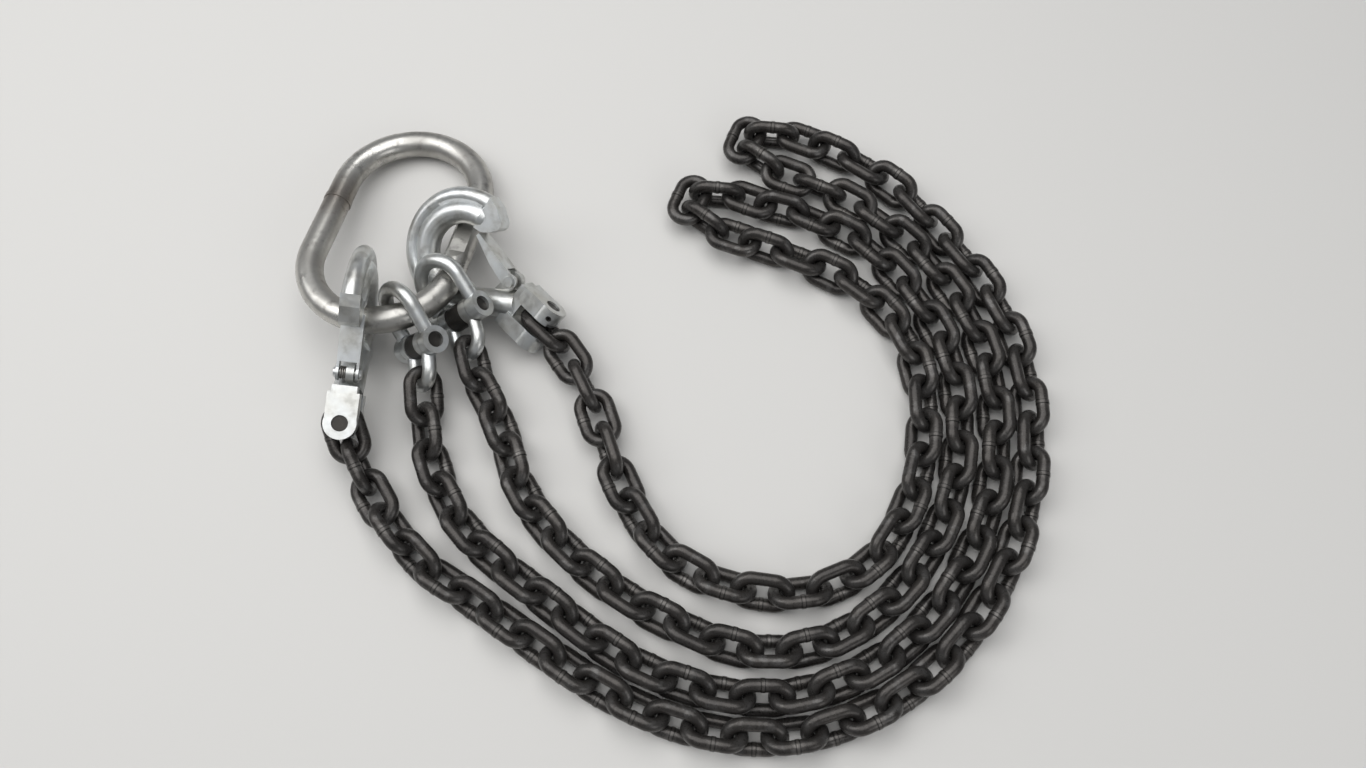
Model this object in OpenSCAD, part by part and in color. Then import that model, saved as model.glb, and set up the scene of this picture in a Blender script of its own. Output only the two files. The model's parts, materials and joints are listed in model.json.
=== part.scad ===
// Two-leg chain sling laid down for storage.
// Each chain leg hangs from the master link by a coupling link, doubles back,
// and its clevis hook is stored on the same master link.
// Millimetres, +Z up, floor at z = 0, +X to the right and +Y away from the viewer.

/* [Chain] */
// wire thickness of a chain link
wire_d = 10; // [9:0.5:10.5]
// inside length of a chain link
pitch = 30; // [28:0.5:33]
// inside width of a chain link
link_in_w = 13; // [12.5:0.5:14]
// free play where two links meet
slack = 0.9; // [0.7:0.05:1.1]
// height of the weld collar above the wire
weld_rise = 0.4; // [0.2:0.1:0.6]
// width of the weld collar
weld_w = 3; // [2:0.5:4]
// clear space between the two legs where they lie side by side
leg_gap = 2; // [1.5:0.5:4]

/* [Master link] */
// wire thickness of the master link
ring_d = 22; // [20:0.5:23]
// inside length of the master link
ring_len = 170; // [160:1:180]
// inside width of the master link
ring_wid = 95; // [90:1:100]
// thickness left at the pressed flat
flat_t = 17.5; // [16:0.5:20]
// length of the pressed flat
flat_len = 40; // [30:1:50]
// tilt of the master link, its far end on the floor
ring_tilt = 11; // [10:0.5:12]

/* [Coupling link] */
// wire thickness of the upper half
bow_d = 12; // [11:0.5:13]
// distance between the leg centres of the upper half
bow_w = 41; // [40:0.5:44]
// load pin centre to the crown centre of the upper half
bow_len = 50; // [48:0.5:54]
// wire thickness of the lower half
low_d = 11; // [10:0.5:12]
// distance between the leg centres of the lower half
low_w = 26; // [25:0.5:27]
// load pin centre to the crown centre of the lower half
low_len = 33; // [32:0.5:36]
// load pin thickness
cpin_d = 12.6; // [11:0.2:13]
// knuckle diameter round the load pin
knuckle_d = 22; // [21:0.5:24]
// outer diameter of the centre sleeve
sleeve_d = 21; // [18:0.5:22]

/* [Clevis hook] */
// inside radius of the bowl
bowl_r = 24; // [23:0.5:26]
// radial depth of the bowl
bowl_t = 30; // [28:0.5:32]
// clevis pin centre to bowl centre
bowl_y = 88; // [86:0.5:92]
// thickness of the inner bead of the bowl
bead_d = 20; // [18:0.5:21]
// thickness of the outer rim of the bowl
rim_d = 14; // [12:0.5:15]
// clear width of the clevis jaw
jaw_w = 12.8; // [12.4:0.2:14]
// width over the clevis ears
clevis_w = 41; // [39:0.5:43]
// diameter of the clevis ears
ear_d = 25; // [24:0.5:27]
// clevis load pin thickness
hpin_d = 12.5; // [11.5:0.1:12.9]
// retaining pin thickness
roll_d = 4.4; // [4:0.1:5]
// latch sheet thickness
latch_t = 2; // [1.6:0.1:2.4]
// latch width over its cheeks
latch_w = 17; // [16:0.5:18]
// latch rivet thickness
rivet_d = 6; // [5:0.2:6.6]

/* [Hidden] */
$fn = 48;
fit = 0.05;
lie = -45;

// the whole layout moved so that its middle is at the origin
shift = [-7.5, 0, 0.3];

steel = [0.24, 0.23, 0.23];
zinc = [0.78, 0.80, 0.82];
galv = [0.70, 0.69, 0.66];

// chain link shape
link_a = (link_in_w + wire_d) / 2;
link_s = (pitch - link_in_w) / 2;
// how far the links of a turn are drawn apart
pull = (link_in_w - wire_d) / 2 - slack;
lane = 2 * (link_a * sin(45) + wire_d / 2) + 0.8;

// master link shape
ring_r = (ring_wid + ring_d) / 2;
ring_s = (ring_len - ring_wid) / 2;
ring_o = [-220, 148, 1 + ring_d / 2 + (ring_s + ring_r) * sin(ring_tilt)];
ring_a = [-ring_tilt, 0, -11];

// rotation matrix for rotate([x, y, z])
function rx(a) = [[1, 0, 0], [0, cos(a), -sin(a)], [0, sin(a), cos(a)]];
function ry(a) = [[cos(a), 0, sin(a)], [0, 1, 0], [-sin(a), 0, cos(a)]];
function rz(a) = [[cos(a), -sin(a), 0], [sin(a), cos(a), 0], [0, 0, 1]];
function rot(v) = rz(v[2]) * ry(v[1]) * rx(v[0]);
function unit(v) = v / norm(v);

// point of the master link wire on its near arc
function ring_at(a) = ring_o + rot(ring_a) * [ring_r * cos(a), -ring_s + ring_r * sin(a), 0];

// couplings: upper half and lower half turn about the same pin axis
c1_up = [50, -50, -12];
c1_lo = [22, -50, -12];
c2_up = [35, -40, 10];
c2_lo = [10, -40, 10];
bow_in = bow_len - bow_d / 2 - ring_d / 2 - 6;
c1_o = ring_at(-54) - rot(c1_up) * [0, bow_in, 0];
c2_o = ring_at(-15) - rot(c2_up) * [0, bow_in, 0] + [0.3, 0, 1];
k_in = low_w / 2 - 4.4;
k_mid = low_w / 2 + 3.6;
k_out = bow_w / 2 + bow_d / 2 + 0.6;

// hooks: pin centre, turn of the whole hook, spin in its own plane
h1_o = [-246, -26, 29.5];
h1_a = [0, -78, -3];
h1_s = -16;
h2_o = [-98, 62, 22.5];
h2_a = [9, -33.5, 41.5];
h2_s = 0;
h1_m = rot(h1_a) * rz(h1_s);
h2_m = rot(h2_a) * rz(h2_s);
bowl_o = bowl_r + bowl_t;
rivet_p = [12, bowl_y - 48.5, 0];
latch_a = -9;
// swing of the first chain link about the pin of hook 1
h1_w = 25;

// chain lanes: outer lane points, from the near left round the right to the far side
lane_pts = [[-142, -157], [-93, -190], [-44, -222], [3, -244], [50, -256], [100, -257],
  [151, -243], [197, -217], [237, -179], [267, -134], [287, -85], [297, -32],
  [298, 20], [288, 70], [266, 116], [237, 157], [202, 195], [163, 228]];
lane_z = wire_d / 2 + link_a * sin(45) + 0.1;
up_z = wire_d / 2 + link_a + 0.2;
function lane_n(i) = let(d = unit(lane_pts[min(i + 1, 17)] - lane_pts[max(i - 1, 0)])) [-d[1], d[0]];
function lane_at(i, off) = let(p = lane_pts[i] + off * lane_n(i)) [p[0], p[1], lane_z];
function lanes(a, b, off) = [for (i = [a : b]) lane_at(i, off)];
function flip(w) = [for (i = [len(w) - 1 : -1 : 0]) w[i]];

// the two turns at the far ends: middle of the flat cross link, its heading, and the
// outward spread of the upright links on either side of it
turn_a = [75, 242.5, up_z];
turn_b = [26, 182, up_z];
turn_h = -22;
turn_s = 16;
function head(a) = [cos(a), sin(a), 0];
function turn_c(o, m) = o + m * link_s * head(turn_h + 90);
function turn_end(o, m, a) = turn_c(o, m) + (pitch + wire_d + 2 * pull) * head(turn_h + m * turn_s)
  - ((pitch - slack) / 2 - link_s) * head(a);

// ends of the four strands at the fittings, and their directions there
a_out_0 = c1_o + rot(c1_lo) * [0, -low_len + low_d / 2 + slack / 2, 0];
a_out_t = rot(c1_lo) * [0, -1, 0];
b_out_0 = c2_o + rot(c2_lo) * [0, -low_len + low_d / 2 + slack / 2, 0];
b_out_t = rot(c2_lo) * [0, -1, 0];
a_back_t = h1_m * [0, -cos(h1_w), -sin(h1_w)];
a_back_v = h1_m * [0, sin(h1_w), -cos(h1_w)];
a_back_0 = h1_o - (hpin_d / 2 + slack / 2) * a_back_t;
b_back_0 = h2_o + h2_m * [0, hpin_d / 2 + slack / 2, 0];
b_back_t = h2_m * [0, -1, 0];

a_out_1 = turn_end(turn_a, -1, -23);
a_back_1 = turn_end(turn_a, 1, -23);
b_out_1 = turn_end(turn_b, 1, -22);
b_back_1 = turn_end(turn_b, -1, -20);

w_a_out = concat([a_out_0, a_out_0 + 29 * a_out_t],
  [[-180, -46.5, 15.8], [-171, -69.5, 13.7], [-160, -91, 13.4], [-141.5, -114, lane_z],
   [-117.5, -134.5, lane_z], [-92, -153.5, 13.5]],
  lanes(2, 15, lane), [[179.5, 171, 16], [144.5, 193, 15.7], a_out_1 + 30 * head(-23), a_out_1]);
w_a_back = concat([a_back_1, a_back_1 + 30 * head(-23), [163, 225, 17.3], [207.5, 193, 15.8]],
  flip(lanes(0, 15, 0)),
  [[-175.5, -136, 14.2], [-192, -119, 13.4], [-214, -91, 16.5], [-228.5, -67, lane_z],
   a_back_0 + 29 * a_back_t, a_back_0]);
w_b_out = concat([b_out_0, b_out_0 + 29 * b_out_t],
  [[-127, -19, 16.9], [-118.5, -42, 13.8], [-109, -70.5, 14.1], [-92, -97, 13.3],
   [-74, -117, 14.9], [-52, -137, 13.3], [-21.5, -159, 14.2], [4.5, -173.5, 16.6],
   [37, -188, 13.7], [59, -196, 13.7], [87, -198, 13.8], [116.5, -195.5, lane_z],
   [137, -186, lane_z]],
  lanes(7, 15, 2 * lane + leg_gap),
  [[169.5, 144.5, 13.9], [141.5, 160, 14.1], [111, 172.5, 14.5], b_out_1 + 30 * head(-22), b_out_1]);
w_b_back = concat([b_back_1, b_back_1 + 30 * head(-20), [103, 131.5, 16], [123.5, 123.5, 15.6],
   [154, 109, 14.2], [173.5, 94.5, 13.5]], flip(lanes(8, 14, 3 * lane + leg_gap + 1.5)),
  [[150.5, -141.5, lane_z], [122, -153, lane_z], [94, -156, lane_z], [67.5, -152.5, lane_z],
   [40, -145, 14.1], [18.5, -134, 14.4], [-2, -116.5, 14.7], [-19.5, -88.5, 15.1],
   [-31, -66, 16.3], [-44, -28, 16.6], [-54, 0, 17.5], [-67, 26, 17.2],
   b_back_0 + 29 * b_back_t, b_back_0]);

// smooth line through the points, cut into equal steps one link long
function cr(a, b, c, d, t) = 0.5 * (2 * b + (c - a) * t + (2 * a - 5 * b + 4 * c - d) * t * t
  + (3 * b - a - 3 * c + d) * t * t * t);
function smooth(w) = [for (i = [0 : len(w) - 2]) for (j = [0 : 9])
  cr(w[max(i - 1, 0)], w[i], w[i + 1], w[min(i + 2, len(w) - 1)], j / 10), w[len(w) - 1]];
function along(p) = [for (i = 0, s = 0; i < len(p);
  s = s + norm(p[min(i + 1, len(p) - 1)] - p[i]), i = i + 1) s];
function pick(p, s, k, v) = lookup(v, [for (i = [0 : len(p) - 1]) [s[i], p[i][k]]]);
function meets(w) = let(p = smooth(w), s = along(p), l = s[len(s) - 1], n = round(l / (pitch - slack)))
  [for (i = [0 : n]) [pick(p, s, 0, i * l / n), pick(p, s, 1, i * l / n), pick(p, s, 2, i * l / n)]];
// a standing link lifts its own ends clear of the floor
function tall(r) = wire_d / 2 + link_a * abs(sin(r)) + 0.1;
function lift(j, r) = let(n = len(j) - 1) [for (i = [0 : n]) [j[i][0], j[i][1],
  max(j[i][2], tall(roll_at(max(i - 1, 0), n, r)), tall(roll_at(min(i, n - 1), n, r)))]];

a_out_m = meets(w_a_out);
a_back_m = meets(w_a_back);
b_out_m = meets(w_b_out);
b_back_m = meets(w_b_back);

// roll of each link about its own length: neighbours stand at right angles
function near(a, r) = r + ((a - r + 90) % 180 + 180) % 180 - 90;
function ramp(t, k) = t > lie ? max(lie, t - 12 * k) : min(lie, t + 12 * k);
function roll_of(t, v) = let(y = unit(cross([0, 0, 1], t)), z = cross(t, y)) atan2(v * z, v * y);
function roll_at(i, n, r) = 90 * (i % 2) + (i < n / 2 ? ramp(near(r[0], lie), i)
  : ramp(near(r[1] - 90 * ((n - 1) % 2), lie), n - 1 - i));
function dir(j, i) = unit(j[i + 1] - j[i]);

function flat_roll(j) = len(j) % 2 == 0 ? -10 : 10;

a_out_r = [roll_of(dir(a_out_m, 0), rot(c1_lo) * [0, 0, 1]), flat_roll(a_out_m)];
b_out_r = [roll_of(dir(b_out_m, 0), rot(c2_lo) * [0, 0, 1]), flat_roll(b_out_m)];
a_back_r = [-10, roll_of(dir(a_back_m, len(a_back_m) - 2), a_back_v)];
b_back_r = [-10, roll_of(dir(b_back_m, len(b_back_m) - 2), h2_m * [0, 0, 1])];
a_out = lift(a_out_m, a_out_r);
a_back = lift(a_back_m, a_back_r);
b_out = lift(b_out_m, b_out_r);
b_back = lift(b_back_m, b_back_r);

// places where a doubled leg folds up: both strands are cut between the same two links
fold_a = [[152, -213], [270, -32], [236, 112], [200, 158]];
fold_b = [[220, -102], [242, -21], [236, 36], [114, 177]];
function nearest(j, p) = let(d = [for (q = j) norm([q[0] - p[0], q[1] - p[1]])], m = min(d))
  [for (i = [0 : len(d) - 1]) if (d[i] == m) i][0];
a_out_k = concat([0], [for (p = fold_a) nearest(a_out, p)], [len(a_out) - 1]);
b_out_k = concat([0], [for (p = fold_b) nearest(b_out, p)], [len(b_out) - 1]);
a_back_k = concat([len(a_back) - 1], [for (k = [1 : 4]) nearest(a_back, a_out[a_out_k[k]])], [0]);
b_back_k = concat([len(b_back) - 1], [for (k = [1 : 4]) nearest(b_back, b_out[b_out_k[k]])], [0]);

module link() {
  for (m = [-1, 1])
    translate([-link_s, m * link_a, 0])
      rotate([0, 90, 0])
        cylinder(d = wire_d, h = 2 * link_s);
  for (m = [0, 180])
    rotate([0, 0, m])
      translate([link_s, 0, 0])
        rotate([0, 0, -90])
          rotate_extrude(angle = 180)
            translate([link_a, 0])
              circle(d = wire_d);
  translate([-weld_w / 2, link_a, 0])
    rotate([0, 90, 0])
      cylinder(d = wire_d + 2 * weld_rise, h = weld_w);
}

// links first to last of a strand
module links(j, r, first, last) {
  n = len(j) - 1;
  color(steel)
    for (i = [first : last])
      let(t = dir(j, i))
        translate(shift + (j[i] + j[i + 1]) / 2)
          rotate([roll_at(i, n, r), -asin(t[2]), atan2(t[1], t[0])])
            link();
}

// three links of a turn: an upright link, the flat cross link, an upright link
module turn_links(o) {
  color(steel) {
    translate(shift + o)
      rotate([0, 0, turn_h + 90])
        link();
    for (m = [-1, 1])
      translate(shift + turn_c(o, m))
        rotate([0, 0, turn_h + m * turn_s])
          translate([(pitch + wire_d) / 2 + pull, 0, 0])
            rotate([90, 0, 0])
              link();
  }
}

module ring_shape() {
  difference() {
    union() {
      for (m = [-1, 1])
        translate([m * ring_r, -ring_s, 0])
          rotate([-90, 0, 0])
            cylinder(d = ring_d, h = 2 * ring_s);
      for (m = [0, 180])
        rotate([0, 0, m])
          translate([0, ring_s, 0])
            rotate_extrude(angle = 180)
              translate([ring_r, 0])
                circle(d = ring_d);
      translate([-ring_r, 14, 0])
        rotate([-90, 0, 0])
          cylinder(d = ring_d + 1, h = 5);
    }
    for (m = [0, 180])
      translate([ring_r, 0, 0])
        rotate([m, 0, 0])
          rotate([90, 0, 90])
            linear_extrude(height = ring_d + 2, center = true)
              polygon([[-flat_len / 2, flat_t / 2], [flat_len / 2, flat_t / 2],
                [flat_len / 2 + 14, ring_d / 2 + 2], [-flat_len / 2 - 14, ring_d / 2 + 2]]);
  }
}

module along_x(d, a, b) {
  translate([a, 0, 0])
    rotate([0, 90, 0])
      cylinder(d = d, h = b - a);
}

// one bow of a coupling: two legs and the crown between them
module bow(d, w, l) {
  for (m = [-1, 1])
    translate([m * w / 2, 0, 0])
      rotate([-90, 0, 0])
        cylinder(d = d, h = l - w / 2);
  translate([0, l - w / 2, 0])
    rotate_extrude(angle = 180)
      translate([w / 2, 0])
        circle(d = d);
}

module upper_shape() {
  difference() {
    union() {
      bow(bow_d, bow_w, bow_len);
      along_x(knuckle_d, k_mid + 0.4, k_out);
      along_x(knuckle_d, -k_out, -k_mid - 0.4);
    }
    along_x(knuckle_d + 1.2, -k_mid - 0.4, k_mid + 0.4);
    along_x(cpin_d + 2 * fit, -k_out - 1, k_out + 1);
  }
}

module lower_shape() {
  difference() {
    union() {
      rotate([0, 0, 180])
        bow(low_d, low_w, low_len);
      along_x(knuckle_d, k_in, k_mid);
      along_x(knuckle_d, -k_mid, -k_in);
    }
    along_x(knuckle_d + 1.2, k_mid, k_out);
    along_x(knuckle_d + 1.2, -k_out, -k_mid);
    along_x(sleeve_d + 1, -k_in, k_in);
    along_x(cpin_d + 2 * fit, -k_out, k_out);
  }
}

module cpin_shape() {
  along_x(cpin_d, -k_out + 3, k_out - 3);
}

module sleeve_shape() {
  difference() {
    along_x(sleeve_d, -k_in + 0.3, k_in - 0.3);
    along_x(cpin_d + 2 * fit, -k_in, k_in);
  }
}

module bowl_section() {
  translate([bowl_r + bead_d / 2, 0])
    circle(d = bead_d);
  translate([bowl_o - rim_d / 2, 0])
    circle(d = rim_d);
  translate([bowl_r + bead_d / 2, -4])
    square([bowl_t - bead_d / 2 - rim_d / 2, 8]);
}

module bowl_arc(a, b) {
  translate([0, bowl_y, 0])
    rotate([0, 0, a])
      rotate_extrude(angle = b - a)
        bowl_section();
}

// tapered end of a round part of the bowl
module bowl_tip(a, r, d, side) {
  translate([0, bowl_y, 0])
    rotate([0, 0, a])
      translate([r, 0, 0])
        rotate([side * 90, 0, 0]) {
          cylinder(d1 = d, d2 = 0.86 * d, h = 0.2 * d);
          translate([0, 0, 0.2 * d])
            cylinder(d1 = 0.86 * d, d2 = 0.5 * d, h = 0.16 * d);
        }
}

module hook_shape() {
  difference() {
    union() {
      bowl_arc(8, 231);
      // thicker web towards the nose
      translate([0, bowl_y, 0])
        rotate([0, 0, 11])
          rotate_extrude(angle = 55)
            translate([bowl_r + bead_d / 2, -rim_d / 2 + 0.6])
              square([bowl_t - bead_d / 2 - rim_d / 2, rim_d - 1.2]);
      // ends of the bead and of the rim
      bowl_tip(8, bowl_r + bead_d / 2, bead_d, 1);
      bowl_tip(231, bowl_o - rim_d / 2, rim_d, -1);
      // nose
      linear_extrude(height = rim_d + 1, center = true)
        polygon([[bowl_r + 0.5, bowl_y + 4], [bowl_o - 0.6, bowl_y + 7.5], [bowl_o - 3, bowl_y - 2],
          [bowl_o - 10, bowl_y - 13], [bowl_o - 14, bowl_y - 15], [bowl_o - 18, bowl_y - 14],
          [bowl_r + 6, bowl_y - 9], [bowl_r + 1.5, bowl_y - 3]]);
      // shank
      translate([0, 24, 0])
        rotate([0, 0, 37.5])
          rotate([-90, 0, 0])
            cylinder(d1 = 24, d2 = 22, h = bowl_y - 41);
      // latch lug
      translate([0, 0, -5.2])
        linear_extrude(height = 5.8)
          polygon([[-6, rivet_p[1] - 9], [rivet_p[0], rivet_p[1] - 6.5],
            [rivet_p[0], rivet_p[1] + 6.5], [-16, rivet_p[1] + 11]]);
      translate(rivet_p + [0, 0, -5.2])
        cylinder(d = 15, h = 5.8);
      // clevis
      translate([-clevis_w / 2, 19.3, -9.5])
        cube([clevis_w - 1.5, 10, 19]);
      for (m = [-1, 1])
        translate([m * (jaw_w + clevis_w) / 4, 0, 0]) {
          translate([-(clevis_w - jaw_w) / 4, 0, -ear_d / 2 + 0.5])
            cube([(clevis_w - jaw_w) / 2, 24, ear_d - 1]);
          along_x(ear_d, -(clevis_w - jaw_w) / 4, (clevis_w - jaw_w) / 4);
        }
    }
    along_x(hpin_d + 2 * fit, -clevis_w, clevis_w);
    // hollow at the mouth where the second link turns
    rotate([0, 90, 0])
      rotate([0, 0, -140])
        rotate_extrude(angle = 100)
          translate([1.5 * (pitch - slack) - hpin_d / 2 - slack / 2 - link_s, 0])
            circle(r = link_a + wire_d / 2 + 2);
    translate([(jaw_w + clevis_w) / 4, -hpin_d / 2, -ear_d])
      cylinder(d = roll_d + 2 * fit, h = 2 * ear_d);
    translate(rivet_p + [0, 0, -20])
      cylinder(d = rivet_d + 2 * fit, h = 40);
  }
}

module hpin_shape() {
  difference() {
    along_x(hpin_d, -clevis_w / 2 + 1.5, clevis_w / 2 - 1.5);
    translate([(jaw_w + clevis_w) / 4, -hpin_d / 2, -ear_d])
      cylinder(d = roll_d + 2 * fit, h = 2 * ear_d);
  }
}

module roll_shape() {
  translate([(jaw_w + clevis_w) / 4, -hpin_d / 2, -ear_d / 2 + 2])
    difference() {
      cylinder(d = roll_d, h = ear_d - 4);
      translate([0, 0, -1])
        cylinder(d = roll_d - 1.8, h = ear_d);
      translate([0, -0.4, -1])
        cube([roll_d, 0.8, ear_d]);
    }
}

module latch_shape() {
  l = 46.5;
  translate(rivet_p)
    rotate([0, 0, latch_a])
      difference() {
        union() {
          translate([5.2 - latch_t, 9, -latch_w / 2])
            cube([latch_t, l - 9, latch_w]);
          for (m = [-1, 1])
            translate([0, 0, m * (latch_w - latch_t) / 2])
              linear_extrude(height = latch_t, center = true) {
                circle(d = 13);
                polygon([[-6.4, 0], [5.2, -4], [5.2, l], [2.2, l], [-4, 22]]);
              }
        }
        translate([0, 0, -20])
          cylinder(d = rivet_d + 2 * fit, h = 40);
      }
}

module rivet_shape() {
  translate(rivet_p) {
    translate([0, 0, -latch_w / 2 - 0.5])
      cylinder(d = rivet_d, h = latch_w + 1);
    for (m = [0, 180])
      rotate([m, 0, 0])
        translate([0, 0, latch_w / 2 + 0.3])
          cylinder(d1 = rivet_d + 4, d2 = rivet_d + 2, h = 1.8);
  }
}

module spring_shape() {
  translate(rivet_p) {
    rotate_extrude()
      for (k = [0 : 2])
        translate([rivet_d / 2 + 1.4, 1.9 + 1.6 * k])
          circle(d = 1.5);
    translate([1, -rivet_d / 2 - 1.4, 1.9])
      rotate([0, -90, 0])
        cylinder(d = 1.6, h = 5.6);
  }
}

module at_c1(a) {
  color(zinc)
    translate(shift + c1_o)
      rotate(a)
        children();
}

module at_c2(a) {
  color(zinc)
    translate(shift + c2_o)
      rotate(a)
        children();
}

module at_h1() {
  color(zinc)
    translate(shift + h1_o)
      rotate(h1_a)
        rotate([0, 0, h1_s])
          children();
}

module at_h2() {
  color(zinc)
    translate(shift + h2_o)
      rotate(h2_a)
        rotate([0, 0, h2_s])
          children();
}

module master_link() {
  color(galv)
    translate(shift + ring_o)
      rotate(ring_a)
        ring_shape();
}
module coupling_1_upper() { at_c1(c1_up) upper_shape(); }
module coupling_1_lower() { at_c1(c1_lo) lower_shape(); }
module coupling_1_pin() { at_c1(c1_up) cpin_shape(); }
module coupling_1_sleeve() { at_c1(c1_up) sleeve_shape(); }
module coupling_2_upper() { at_c2(c2_up) upper_shape(); }
module coupling_2_lower() { at_c2(c2_lo) lower_shape(); }
module coupling_2_pin() { at_c2(c2_up) cpin_shape(); }
module coupling_2_sleeve() { at_c2(c2_up) sleeve_shape(); }
module hook_1_body() { at_h1() hook_shape(); }
module hook_1_load_pin() { at_h1() hpin_shape(); }
module hook_1_retaining_pin() { at_h1() roll_shape(); }
module hook_1_latch() { at_h1() latch_shape(); }
module hook_1_latch_rivet() { at_h1() rivet_shape(); }
module hook_1_latch_spring() { at_h1() spring_shape(); }
module hook_2_body() { at_h2() hook_shape(); }
module hook_2_load_pin() { at_h2() hpin_shape(); }
module hook_2_retaining_pin() { at_h2() roll_shape(); }
module hook_2_latch() { at_h2() latch_shape(); }
module hook_2_latch_rivet() { at_h2() rivet_shape(); }
module hook_2_latch_spring() { at_h2() spring_shape(); }

// leg 1: pieces of the strand going out, of the strand coming back, and the turn
module leg_1_out_1() { links(a_out, a_out_r, a_out_k[0], a_out_k[1] - 1); }
module leg_1_out_2() { links(a_out, a_out_r, a_out_k[1], a_out_k[2] - 1); }
module leg_1_out_3() { links(a_out, a_out_r, a_out_k[2], a_out_k[3] - 1); }
module leg_1_out_4() { links(a_out, a_out_r, a_out_k[3], a_out_k[4] - 1); }
module leg_1_out_5() { links(a_out, a_out_r, a_out_k[4], a_out_k[5] - 1); }
module leg_1_back_1() { links(a_back, a_back_r, a_back_k[1], a_back_k[0] - 1); }
module leg_1_back_2() { links(a_back, a_back_r, a_back_k[2], a_back_k[1] - 1); }
module leg_1_back_3() { links(a_back, a_back_r, a_back_k[3], a_back_k[2] - 1); }
module leg_1_back_4() { links(a_back, a_back_r, a_back_k[4], a_back_k[3] - 1); }
module leg_1_back_5() { links(a_back, a_back_r, a_back_k[5], a_back_k[4] - 1); }
module leg_1_turn() { turn_links(turn_a); }

// leg 2: pieces of the strand going out, of the strand coming back, and the turn
module leg_2_out_1() { links(b_out, b_out_r, b_out_k[0], b_out_k[1] - 1); }
module leg_2_out_2() { links(b_out, b_out_r, b_out_k[1], b_out_k[2] - 1); }
module leg_2_out_3() { links(b_out, b_out_r, b_out_k[2], b_out_k[3] - 1); }
module leg_2_out_4() { links(b_out, b_out_r, b_out_k[3], b_out_k[4] - 1); }
module leg_2_out_5() { links(b_out, b_out_r, b_out_k[4], b_out_k[5] - 1); }
module leg_2_back_1() { links(b_back, b_back_r, b_back_k[1], b_back_k[0] - 1); }
module leg_2_back_2() { links(b_back, b_back_r, b_back_k[2], b_back_k[1] - 1); }
module leg_2_back_3() { links(b_back, b_back_r, b_back_k[3], b_back_k[2] - 1); }
module leg_2_back_4() { links(b_back, b_back_r, b_back_k[4], b_back_k[3] - 1); }
module leg_2_back_5() { links(b_back, b_back_r, b_back_k[5], b_back_k[4] - 1); }
module leg_2_turn() { turn_links(turn_b); }

master_link();
coupling_1_upper();
coupling_1_lower();
coupling_1_pin();
coupling_1_sleeve();
coupling_2_upper();
coupling_2_lower();
coupling_2_pin();
coupling_2_sleeve();
hook_1_body();
hook_1_load_pin();
hook_1_retaining_pin();
hook_1_latch();
hook_1_latch_rivet();
hook_1_latch_spring();
hook_2_body();
hook_2_load_pin();
hook_2_retaining_pin();
hook_2_latch();
hook_2_latch_rivet();
hook_2_latch_spring();
leg_1_out_1();
leg_1_out_2();
leg_1_out_3();
leg_1_out_4();
leg_1_out_5();
leg_1_back_1();
leg_1_back_2();
leg_1_back_3();
leg_1_back_4();
leg_1_back_5();
leg_1_turn();
leg_2_out_1();
leg_2_out_2();
leg_2_out_3();
leg_2_out_4();
leg_2_out_5();
leg_2_back_1();
leg_2_back_2();
leg_2_back_3();
leg_2_back_4();
leg_2_back_5();
leg_2_turn();
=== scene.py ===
import json
import math
import bpy
import numpy as np
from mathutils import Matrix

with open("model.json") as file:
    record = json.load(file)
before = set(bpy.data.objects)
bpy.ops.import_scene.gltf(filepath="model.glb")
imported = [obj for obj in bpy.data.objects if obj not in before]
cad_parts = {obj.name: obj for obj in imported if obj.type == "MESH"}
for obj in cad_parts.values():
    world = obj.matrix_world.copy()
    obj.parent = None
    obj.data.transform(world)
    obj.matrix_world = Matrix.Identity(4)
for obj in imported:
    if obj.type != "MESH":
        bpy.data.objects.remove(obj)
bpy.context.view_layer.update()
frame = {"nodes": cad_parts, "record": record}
nodes = frame["nodes"]
scene = bpy.context.scene
scene.view_settings.view_transform = "Standard"
print("frame loaded:", len(nodes), "nodes")


# one node of a shader, with its input values or settings given by name
def addNode(tree, kind, **values):
    node = tree.nodes.new(kind)
    for key, value in values.items():
        if key in node.inputs.keys():
            node.inputs[key].default_value = value
        else:
            setattr(node, key, value)
    return node


# a link where the value comes from another node, a plain number or colour otherwise
def feed(tree, socket, value):
    if hasattr(value, "is_output"):
        tree.links.new(value, socket)
    else:
        socket.default_value = value


# level of a number between two edges, from one value to another
def addStep(tree, value, edges, levels):
    step = addNode(tree, "ShaderNodeMapRange", clamp=True)
    for key, number in zip(("From Min", "From Max", "To Min", "To Max"), edges + levels):
        step.inputs[key].default_value = number
    tree.links.new(value, step.inputs["Value"])
    return step.outputs["Result"]


# a value from 0 to 1, brought between two levels
def addRange(tree, value, low, high):
    return addStep(tree, value, (0.0, 1.0), (low, high))


# noise on object coordinates, stretched from 0 to 1 between two of its levels
def addNoise(tree, coords, scale, detail, low, high):
    noise = addNode(tree, "ShaderNodeTexNoise", Scale=scale, Detail=detail, Roughness=0.55)
    tree.links.new(coords, noise.inputs["Vector"])
    return addStep(tree, noise.outputs["Fac"], (low, high), (0.0, 1.0))


def addMix(tree, fac, first, second):
    mix = addNode(tree, "ShaderNodeMix", data_type="RGBA")
    for place, value in ((0, fac), (6, first), (7, second)):  # factor and the two colour sockets
        feed(tree, mix.inputs[place], value)
    return mix.outputs[2]


def addMath(tree, operation, *values):
    node = addNode(tree, "ShaderNodeMath", operation=operation)
    for socket, value in zip(node.inputs, values):
        feed(tree, socket, value)
    return node.outputs[0]


def addBump(tree, shader, height, strength, distance):
    bump = addNode(tree, "ShaderNodeBump", Strength=strength, Distance=distance)
    tree.links.new(height, bump.inputs["Height"])
    tree.links.new(bump.outputs["Normal"], shader.inputs["Normal"])


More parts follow.
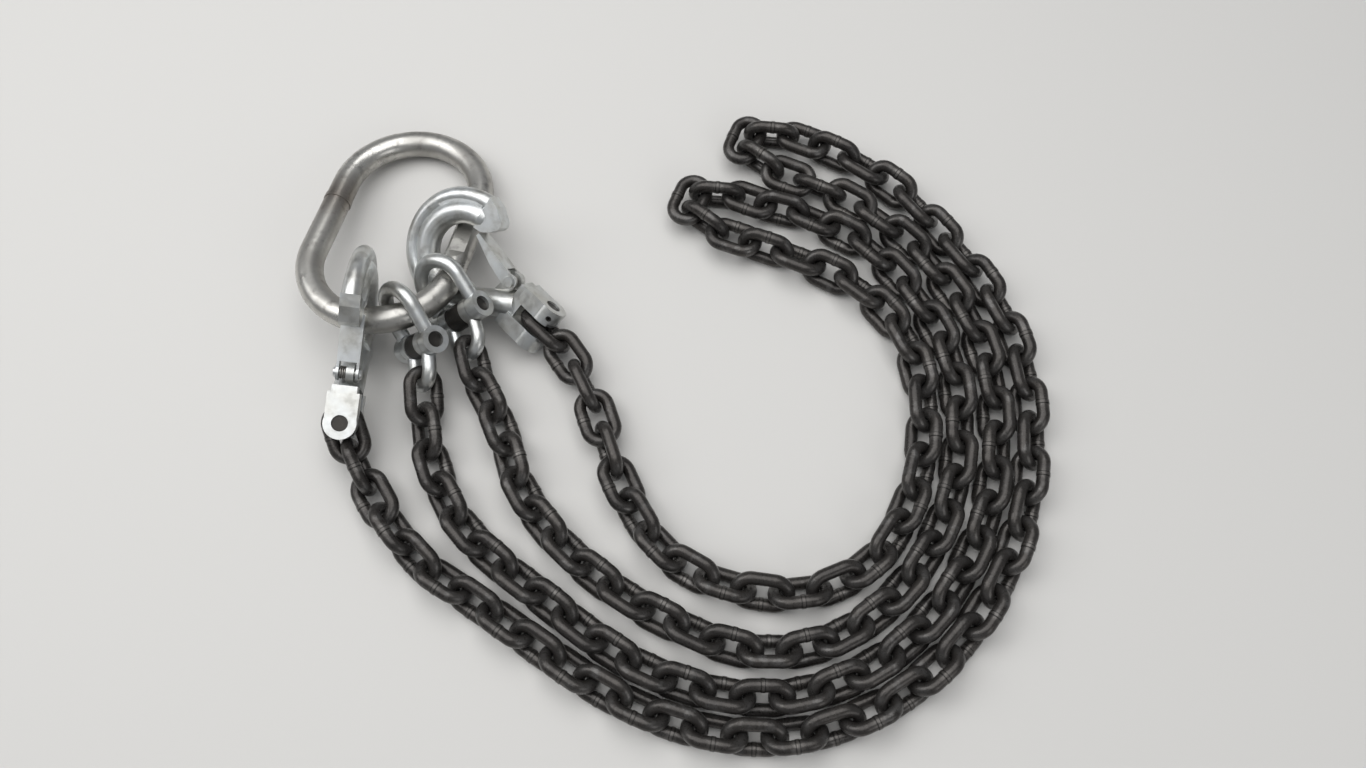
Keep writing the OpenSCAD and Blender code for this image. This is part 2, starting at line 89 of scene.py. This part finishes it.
def newMaterial(name):
    mat = bpy.data.materials.new(name)
    mat.use_nodes = True
    tree = mat.node_tree
    shader = tree.nodes["Principled BSDF"]
    coords = tree.nodes.new("ShaderNodeTexCoord").outputs["Object"]
    return mat, tree, shader, coords


# colour, metal share and roughness of a finished material
def setSurface(tree, shader, base, metallic, rough):
    tree.links.new(base, shader.inputs["Base Color"])
    shader.inputs["Metallic"].default_value = metallic
    tree.links.new(rough, shader.inputs["Roughness"])


# each link's own axes as a point attribute: first along the link, then across it towards its weld,
# then through it. Points at one place share a label, the lowest label spreads along the edges until
# every link has one, and the spread of a link's points gives its three axes
def storeLinkSpace(mesh):
    co = np.empty(len(mesh.vertices) * 3, np.float32)
    mesh.vertices.foreach_get("co", co)
    co = co.reshape(-1, 3).astype(float)
    ends = np.empty(len(mesh.edges) * 2, np.int32)
    mesh.edges.foreach_get("vertices", ends)
    places, same = np.unique(np.round(co * 1e6).astype(np.int64), axis=0, return_inverse=True)
    same = same.ravel()
    a, b = same[ends[0::2]], same[ends[1::2]]
    label, before = np.arange(len(places)), None
    while before is None or not np.array_equal(label, before):
        before = label.copy()
        low = np.minimum(label[a], label[b])
        np.minimum.at(label, a, low)
        np.minimum.at(label, b, low)
        label = label[label]
    link = np.unique(label, return_inverse=True)[1].ravel()[same]
    local = np.zeros_like(co)
    for k in range(link.max() + 1):
        mine = link == k
        spread = co[mine] - co[mine].mean(0)
        own = spread @ np.linalg.eigh(spread.T @ spread)[1][:, ::-1]
        own -= (own.max(0) + own.min(0)) / 2
        collar = own[np.abs(own[:, 0]) < chain["collar"], 1]  # only the weld has points this near the middle
        own[:, 1] *= -1 if collar.size and collar.mean() < 0 else 1
        local[mine] = own
    layer = mesh.attributes.new("linkSpace", "FLOAT_VECTOR", "POINT")
    layer.data.foreach_set("vector", local.astype(np.float32).ravel())
    return link.max() + 1


# oiled, heat-darkened chain: charcoal with brown and grey patches, a trimmed weld on one side of
# every link, and rubbed crowns. Noise rows are scale, detail and the two levels; lengths in metres
chain = {
    "dark": (0.036, 0.033, 0.031, 1),
    "brown": (0.052, 0.047, 0.043, 1),
    "grey": (0.118, 0.115, 0.112, 1),
    "weld": (0.165, 0.155, 0.145, 1),
    "seam": (0.012, 0.011, 0.010, 1),
    "metallic": 0.6,
    "rough": (0.26, 0.38),
    "patches": (38, 4, 0.36, 0.66),
    "fine": (420, 5, 0.40, 0.68),
    "rubbed": (95, 3, 0.56, 0.74),
    "collar": 0.0025,
    "weldSide": (0.002, 0.004),
    "trimmed": (0.0012, 0.0060),
    "collarEdge": 0.0015,
    "seamWidth": (0.0002, 0.0006),
    "crown": (0.0150, 0.0205),
    "bump": (0.18, 0.0003),
}


def makeChainSteel():
    mat, tree, shader, coords = newMaterial("oiledChain")
    patches = addNoise(tree, coords, *chain["patches"])
    fine = addNoise(tree, coords, *chain["fine"])
    rubbed = addNoise(tree, coords, *chain["rubbed"])
    base = addMix(tree, patches, chain["dark"], chain["brown"])
    base = addMix(tree, addRange(tree, rubbed, 0.0, 0.75), base, chain["grey"])
    base = addMix(tree, addRange(tree, fine, 0.0, 0.35), base, chain["dark"])
    own = addNode(tree, "ShaderNodeSeparateXYZ")
    spot = addNode(tree, "ShaderNodeAttribute", attribute_name="linkSpace")
    tree.links.new(spot.outputs["Vector"], own.inputs[0])
    along = addMath(tree, "ABSOLUTE", own.outputs["X"])
    weldSide = addStep(tree, own.outputs["Y"], chain["weldSide"], (0.0, 1.0))
    # grey where the weld was trimmed, fading along the wire
    trimmed = addMath(tree, "MULTIPLY", addStep(tree, along, chain["trimmed"], (0.75, 0.0)), weldSide)
    trimmed = addMath(tree, "MULTIPLY", trimmed, addRange(tree, rubbed, 0.35, 1.0))
    # a dark line at both edges of the weld collar
    offEdge = addMath(tree, "ABSOLUTE", addMath(tree, "SUBTRACT", along, chain["collarEdge"]))
    seam = addMath(tree, "MULTIPLY", addStep(tree, offEdge, chain["seamWidth"], (0.9, 0.0)), weldSide)
    # crowns rubbed lighter by the next link
    crown = addStep(tree, along, chain["crown"], (0.0, 0.45))
    crown = addMath(tree, "MULTIPLY", crown, addRange(tree, patches, 0.3, 1.0))
    base = addMix(tree, crown, base, chain["grey"])
    base = addMix(tree, trimmed, base, chain["weld"])
    base = addMix(tree, seam, base, chain["seam"])
    setSurface(tree, shader, base, chain["metallic"], addRange(tree, fine, *chain["rough"]))
    addBump(tree, shader, fine, *chain["bump"])
    return mat


# hot-dip coat on the master link: warm satin grey with faint spangle and rub marks, browned beside its weld
galvanised = {
    "pale": (0.56, 0.55, 0.52, 1),
    "dull": (0.33, 0.32, 0.30, 1),
    "scuff": (0.20, 0.19, 0.18, 1),
    "heat": (0.13, 0.105, 0.085, 1),
    "weld": (-0.2818, 0.1751, 0.0275),  # where the ring was closed
    "heatReach": (0.009, 0.030),
    "metallic": 0.9,
    "rough": (0.27, 0.42),
    "cells": 170.0,
    "cloud": (26, 4, 0.38, 0.66),
    "scuffs": (120, 5, 0.54, 0.70),
    "bump": (0.25, 0.0003),
}


def makeGalvanised():
    mat, tree, shader, coords = newMaterial("galvanisedRing")
    cells = addNode(tree, "ShaderNodeTexVoronoi", Scale=galvanised["cells"])
    tree.links.new(coords, cells.inputs["Vector"])
    spangle = addNode(tree, "ShaderNodeSeparateColor")
    tree.links.new(cells.outputs["Color"], spangle.inputs["Color"])
    cloud = addNoise(tree, coords, *galvanised["cloud"])
    scuffs = addNoise(tree, coords, *galvanised["scuffs"])
    base = addMix(tree, cloud, galvanised["pale"], galvanised["dull"])
    base = addMix(tree, addRange(tree, spangle.outputs["Red"], 0.0, 0.22), base, galvanised["dull"])
    base = addMix(tree, addRange(tree, scuffs, 0.0, 0.7), base, galvanised["scuff"])
    away = addNode(tree, "ShaderNodeVectorMath", operation="DISTANCE")
    away.inputs[1].default_value = galvanised["weld"]
    tree.links.new(coords, away.inputs[0])
    heat = addStep(tree, away.outputs["Value"], galvanised["heatReach"], (0.75, 0.0))
    base = addMix(tree, heat, base, galvanised["heat"])
    setSurface(tree, shader, base, galvanised["metallic"], addRange(tree, cloud, *galvanised["rough"]))
    addBump(tree, shader, scuffs, *galvanised["bump"])
    return mat


# bright zinc on forged fittings: pale cool grey with warmer clouds, lightly grained, darker in the scuffs
zinc = {
    "pale": (0.62, 0.64, 0.645, 1),
    "shade": (0.50, 0.495, 0.465, 1),
    "scuff": (0.22, 0.22, 0.21, 1),
    "metallic": 0.92,
    "rough": (0.29, 0.42),
    "cloud": (45, 4, 0.36, 0.66),
    "forged": (240, 3, 0.34, 0.68),
    "scuffs": (90, 4, 0.53, 0.76),
    "bump": (0.05, 0.0003),
}


def makeZinc():
    mat, tree, shader, coords = newMaterial("brightZinc")
    cloud = addNoise(tree, coords, *zinc["cloud"])
    forged = addNoise(tree, coords, *zinc["forged"])
    scuffs = addNoise(tree, coords, *zinc["scuffs"])
    base = addMix(tree, cloud, zinc["pale"], zinc["shade"])
    base = addMix(tree, addRange(tree, scuffs, 0.0, 0.50), base, zinc["scuff"])
    setSurface(tree, shader, base, zinc["metallic"], addRange(tree, forged, *zinc["rough"]))
    addBump(tree, shader, forged, *zinc["bump"])
    return mat


# load pins, sleeves and roll pins: nearly black, a painted shade that stands for the dark holes they sit in,
# on steel taken as unplated and oiled
pinSteel = {
    # painted shade: this near-black stands for the shade inside the pin holes
    "holeShade": (0.030, 0.028, 0.026, 1),
    "spot": (0.075, 0.068, 0.060, 1),
    "metallic": 0.6,
    "rough": (0.34, 0.52),
    "cloud": (80, 4, 0.40, 0.70),
    "spots": (300, 4, 0.60, 0.72),
    "bump": (0.15, 0.0002),
}


def makePinSteel():
    mat, tree, shader, coords = newMaterial("pinHoleShade")
    cloud = addNoise(tree, coords, *pinSteel["cloud"])
    spots = addNoise(tree, coords, *pinSteel["spots"])
    # painted shade of the pin holes as the base, with lighter random spots over it
    base = addMix(tree, addRange(tree, cloud, 0.0, 0.5), pinSteel["holeShade"], pinSteel["spot"])
    base = addMix(tree, addRange(tree, spots, 0.0, 0.6), base, pinSteel["spot"])
    setSurface(tree, shader, base, pinSteel["metallic"], addRange(tree, cloud, *pinSteel["rough"]))
    addBump(tree, shader, spots, *pinSteel["bump"])
    return mat


# latch springs: drawn wire, greyer than the plate
springWire = {
    "wire": (0.34, 0.33, 0.31, 1),
    "dark": (0.16, 0.15, 0.14, 1),
    "metallic": 0.95,
    "rough": (0.28, 0.42),
    "cloud": (260, 3, 0.38, 0.68),
}


def makeSpringWire():
    mat, tree, shader, coords = newMaterial("drawnWire")
    cloud = addNoise(tree, coords, *springWire["cloud"])
    base = addMix(tree, cloud, springWire["wire"], springWire["dark"])
    setSurface(tree, shader, base, springWire["metallic"], addRange(tree, cloud, *springWire["rough"]))
    return mat


finishes = {
    "dark_chain": makeChainSteel(),
    "galvanised": makeGalvanised(),
    "zinc": makeZinc(),
    "pin_steel": makePinSteel(),
    "spring_steel": makeSpringWire(),
}
slotOf = {entry["node"]: entry["material_slot"] for entry in frame["record"]["subparts"]}
for name, obj in nodes.items():
    obj.data.materials.clear()
    obj.data.materials.append(finishes[slotOf[name]])
print("finishes on", len(nodes), "nodes")
linkCount = sum(storeLinkSpace(obj.data) for name, obj in nodes.items() if slotOf[name] == "dark_chain")
print("links with their own axes:", linkCount)


# plain pale floor
floor = {"half": 20.0, "colour": (0.62, 0.61, 0.59, 1), "rough": 0.85}
h = floor["half"]
floorMesh = bpy.data.meshes.new("floor")
floorMesh.from_pydata([(-h, -h, 0), (h, -h, 0), (h, h, 0), (-h, h, 0)], [], [(0, 1, 2, 3)])
floorObj = bpy.data.objects.new("floor", floorMesh)
scene.collection.objects.link(floorObj)
floorMat = bpy.data.materials.new("paleFloor")
floorMat.use_nodes = True
floorShader = floorMat.node_tree.nodes["Principled BSDF"]
floorShader.inputs["Base Color"].default_value = floor["colour"]
floorShader.inputs["Roughness"].default_value = floor["rough"]
floorMesh.materials.append(floorMat)
print("floor laid")


# soft light: one wide lamp above, one from the left, a weak one from the near right
lamps = [
    {"name": "overhead", "place": (-0.25, 0.40, 1.9), "size": 2.2, "power": 36},
    {"name": "leftSide", "place": (-1.9, 0.3, 1.7), "size": 1.5, "power": 16},
    {"name": "nearRight", "place": (1.1, -1.2, 1.0), "size": 0.9, "power": 4},
]
for lamp in lamps:
    data = bpy.data.lights.new(lamp["name"], "AREA")
    data.size = lamp["size"]
    data.energy = lamp["power"]
    obj = bpy.data.objects.new(lamp["name"], data)
    scene.collection.objects.link(obj)
    obj.location = lamp["place"]
    x, y, z = lamp["place"]
    obj.rotation_euler = (math.atan2(math.hypot(x, y), z), 0, math.atan2(y, x) + math.pi / 2)
print("lamps on:", len(lamps))


# even room light, and a paler backdrop where the camera sees past the floor
room = {
    "light": (0.80, 0.82, 0.85, 1),
    "level": 0.34,
    "backdrop": (0.80, 0.80, 0.79, 1),
    "backdropLevel": 0.85,
}
world = bpy.data.worlds.new("softRoom")
scene.world = world
world.use_nodes = True
sky = world.node_tree
light = sky.nodes["Background"]
light.inputs["Color"].default_value = room["light"]
light.inputs["Strength"].default_value = room["level"]
backdrop = addNode(sky, "ShaderNodeBackground", Color=room["backdrop"], Strength=room["backdropLevel"])
seen = sky.nodes.new("ShaderNodeLightPath")
join = sky.nodes.new("ShaderNodeMixShader")
sky.links.new(seen.outputs["Is Camera Ray"], join.inputs[0])
sky.links.new(light.outputs[0], join.inputs[1])
sky.links.new(backdrop.outputs[0], join.inputs[2])
sky.links.new(join.outputs[0], sky.nodes["World Output"].inputs[0])
print("room lit")


# camera where the photo was taken from: above, looking steeply down and away
photoView = {"place": (0.0125, -0.278, 0.793), "down": 69.5, "lens": 27.04, "sensor": 36}
camData = bpy.data.cameras.new("photoCamera")
camData.lens = photoView["lens"]
camData.sensor_width = photoView["sensor"]
camData.clip_start = 0.01
cam = bpy.data.objects.new("photoCamera", camData)
scene.collection.objects.link(cam)
cam.location = photoView["place"]
cam.rotation_euler = (math.radians(90 - photoView["down"]), 0, 0)
scene.camera = cam
print("camera placed")
